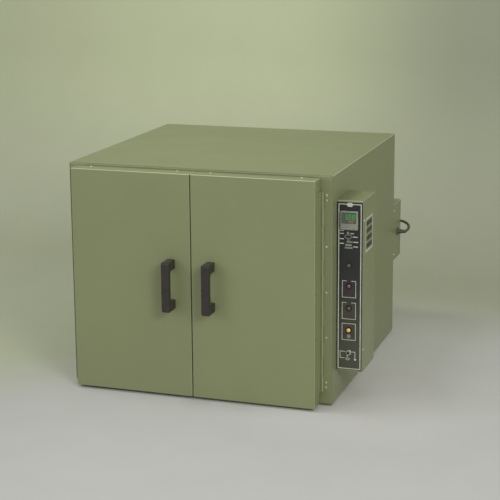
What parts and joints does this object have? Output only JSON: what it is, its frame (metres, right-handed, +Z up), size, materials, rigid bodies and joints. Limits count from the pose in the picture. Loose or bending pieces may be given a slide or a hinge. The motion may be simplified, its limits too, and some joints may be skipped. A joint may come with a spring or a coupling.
{
  "type": "bench oven",
  "caption": "Two-door bench oven in folded sheet steel: control box on the right side, fan-heated chamber with wire shelves, housing at the back and a supply cord.",
  "frame": {"origin": "On the bench plane, under the middle of the oven's bounding box, which is taken without the free supply cord.", "axes": "+X to the right as seen by a user who faces the doors, +Y to the oven's back, +Z up."},
  "size_m": [0.92, 1.08, 0.7],
  "materials": {
    "green_paint": "semi-gloss oven enamel in grey-green",
    "liner_steel": "aluminised sheet, slightly brushed",
    "wire_steel": "bright plated wire",
    "heater_sheath": "heat-darkened tubular sheath",
    "plain_steel": "zinc-plated, satin",
    "mineral_wool": "matt fibre slab",
    "foot_rubber": "matt black",
    "seal_rubber": "soft silicone, satin",
    "handle_plastic": "dark brown-black moulding, slightly grained",
    "dark_moulding": "matt black moulding",
    "black_panel": "black printed plate with white lines",
    "controller_grey": "light grey moulding",
    "display_window": "smooth dark window",
    "key_grey": "grey moulded key",
    "bezel_black": "smooth black moulding",
    "button_black": "smooth black cap",
    "lamp_lens": "translucent domed lens",
    "chrome_lever": "polished lever",
    "terminal_white": "off-white moulding",
    "conduit_grey": "ribbed grey tube",
    "wheel_aluminium": "pressed sheet, satin",
    "motor_enamel": "dark enamel",
    "cord_rubber": "matt black"
  },
  "bodies": {
    "cabinet": {"back_panel": "green_paint", "base_pan": "green_paint", "cabinet_screws": "plain_steel", "chamber_liner": "liner_steel", "conduit": "conduit_grey", "contactor": "dark_moulding", "control_chassis": "green_paint", "control_cover": "green_paint", "controller_body": "controller_grey", "controller_window": "display_window", "cord_coil": "cord_rubber", "cord_gland": "cord_rubber", "door_catches": "dark_moulding", "duct_wall": "liner_steel", "face_plate": "black_panel", "feet": "foot_rubber", "frame_leaves": "green_paint", "front_frame": "green_paint", "heaters": "heater_sheath", "hinge_pins": "plain_steel", "housing_brackets": "green_paint", "insulation": "mineral_wool", "lamp_bodies": "bezel_black", "lamp_lenses": "lamp_lens", "motor": "motor_enamel", "motor_mount": "plain_steel", "outer_case": "green_paint", "power_cord": "cord_rubber", "power_plug": "cord_rubber", "probes": "plain_steel", "rear_housing": "green_paint", "reset_collar": "bezel_black", "shaft_sleeve": "plain_steel", "shelf_racks": "liner_steel", "terminal_blocks": "terminal_white", "toggle_body": "plain_steel", "wire_shelves": "wire_steel"},
    "left_door": {"left_door_core": "mineral_wool", "left_door_gasket": "seal_rubber", "left_door_handle": "handle_plastic", "left_door_leaf": "green_paint", "left_door_screws": "plain_steel", "left_inner_pan": "green_paint", "left_outer_pan": "green_paint"},
    "right_door": {"right_door_core": "mineral_wool", "right_door_gasket": "seal_rubber", "right_door_handle": "handle_plastic", "right_door_leaf": "green_paint", "right_door_screws": "plain_steel", "right_inner_pan": "green_paint", "right_outer_pan": "green_paint"},
    "blower": {"blower_wheel": "wheel_aluminium", "fan_shaft": "plain_steel"},
    "key_1_body": {"controller_key_1": "key_grey"},
    "key_2_body": {"controller_key_2": "key_grey"},
    "key_3_body": {"controller_key_3": "key_grey"},
    "key_4_body": {"controller_key_4": "key_grey"},
    "reset_body": {"reset_button": "button_black"},
    "toggle_body_lever": {"toggle_lever": "chrome_lever"}
  },
  "joints": [
    {"name": "right_door_hinge", "type": "hinge", "parent": "cabinet", "child": "right_door", "pos_m": [0.34765, -0.40715, 0.35], "axis": [0, 0, 1], "range_deg": [0, 95]},
    {"name": "left_door_hinge", "type": "hinge", "parent": "cabinet", "child": "left_door", "pos_m": [-0.42965, -0.40715, 0.35], "axis": [0, 0, -1], "range_deg": [0, 95]},
    {"name": "blower_spin", "type": "hinge", "parent": "cabinet", "child": "blower", "pos_m": [-0.041, 0.2775, 0.35], "axis": [0, 1, 0], "continuous": true},
    {"name": "key_1_press", "type": "slide", "parent": "cabinet", "child": "key_1_body", "axis": [0, 1, 0], "range_m": [0, 0.0008], "stiffness_N_per_m": 300},
    {"name": "key_2_press", "type": "slide", "parent": "cabinet", "child": "key_2_body", "axis": [0, 1, 0], "range_m": [0, 0.0008], "stiffness_N_per_m": 300},
    {"name": "key_3_press", "type": "slide", "parent": "cabinet", "child": "key_3_body", "axis": [0, 1, 0], "range_m": [0, 0.0008], "stiffness_N_per_m": 300},
    {"name": "key_4_press", "type": "slide", "parent": "cabinet", "child": "key_4_body", "axis": [0, 1, 0], "range_m": [0, 0.0008], "stiffness_N_per_m": 300},
    {"name": "reset_press", "type": "slide", "parent": "cabinet", "child": "reset_body", "axis": [0, 1, 0], "range_m": [0, 0.003], "stiffness_N_per_m": 400},
    {"name": "toggle_throw", "type": "hinge", "parent": "cabinet", "child": "toggle_body_lever", "pos_m": [0.4166, -0.3585, 0.158], "axis": [-1, 0, 0], "range_deg": [0, 28]}
  ]
}
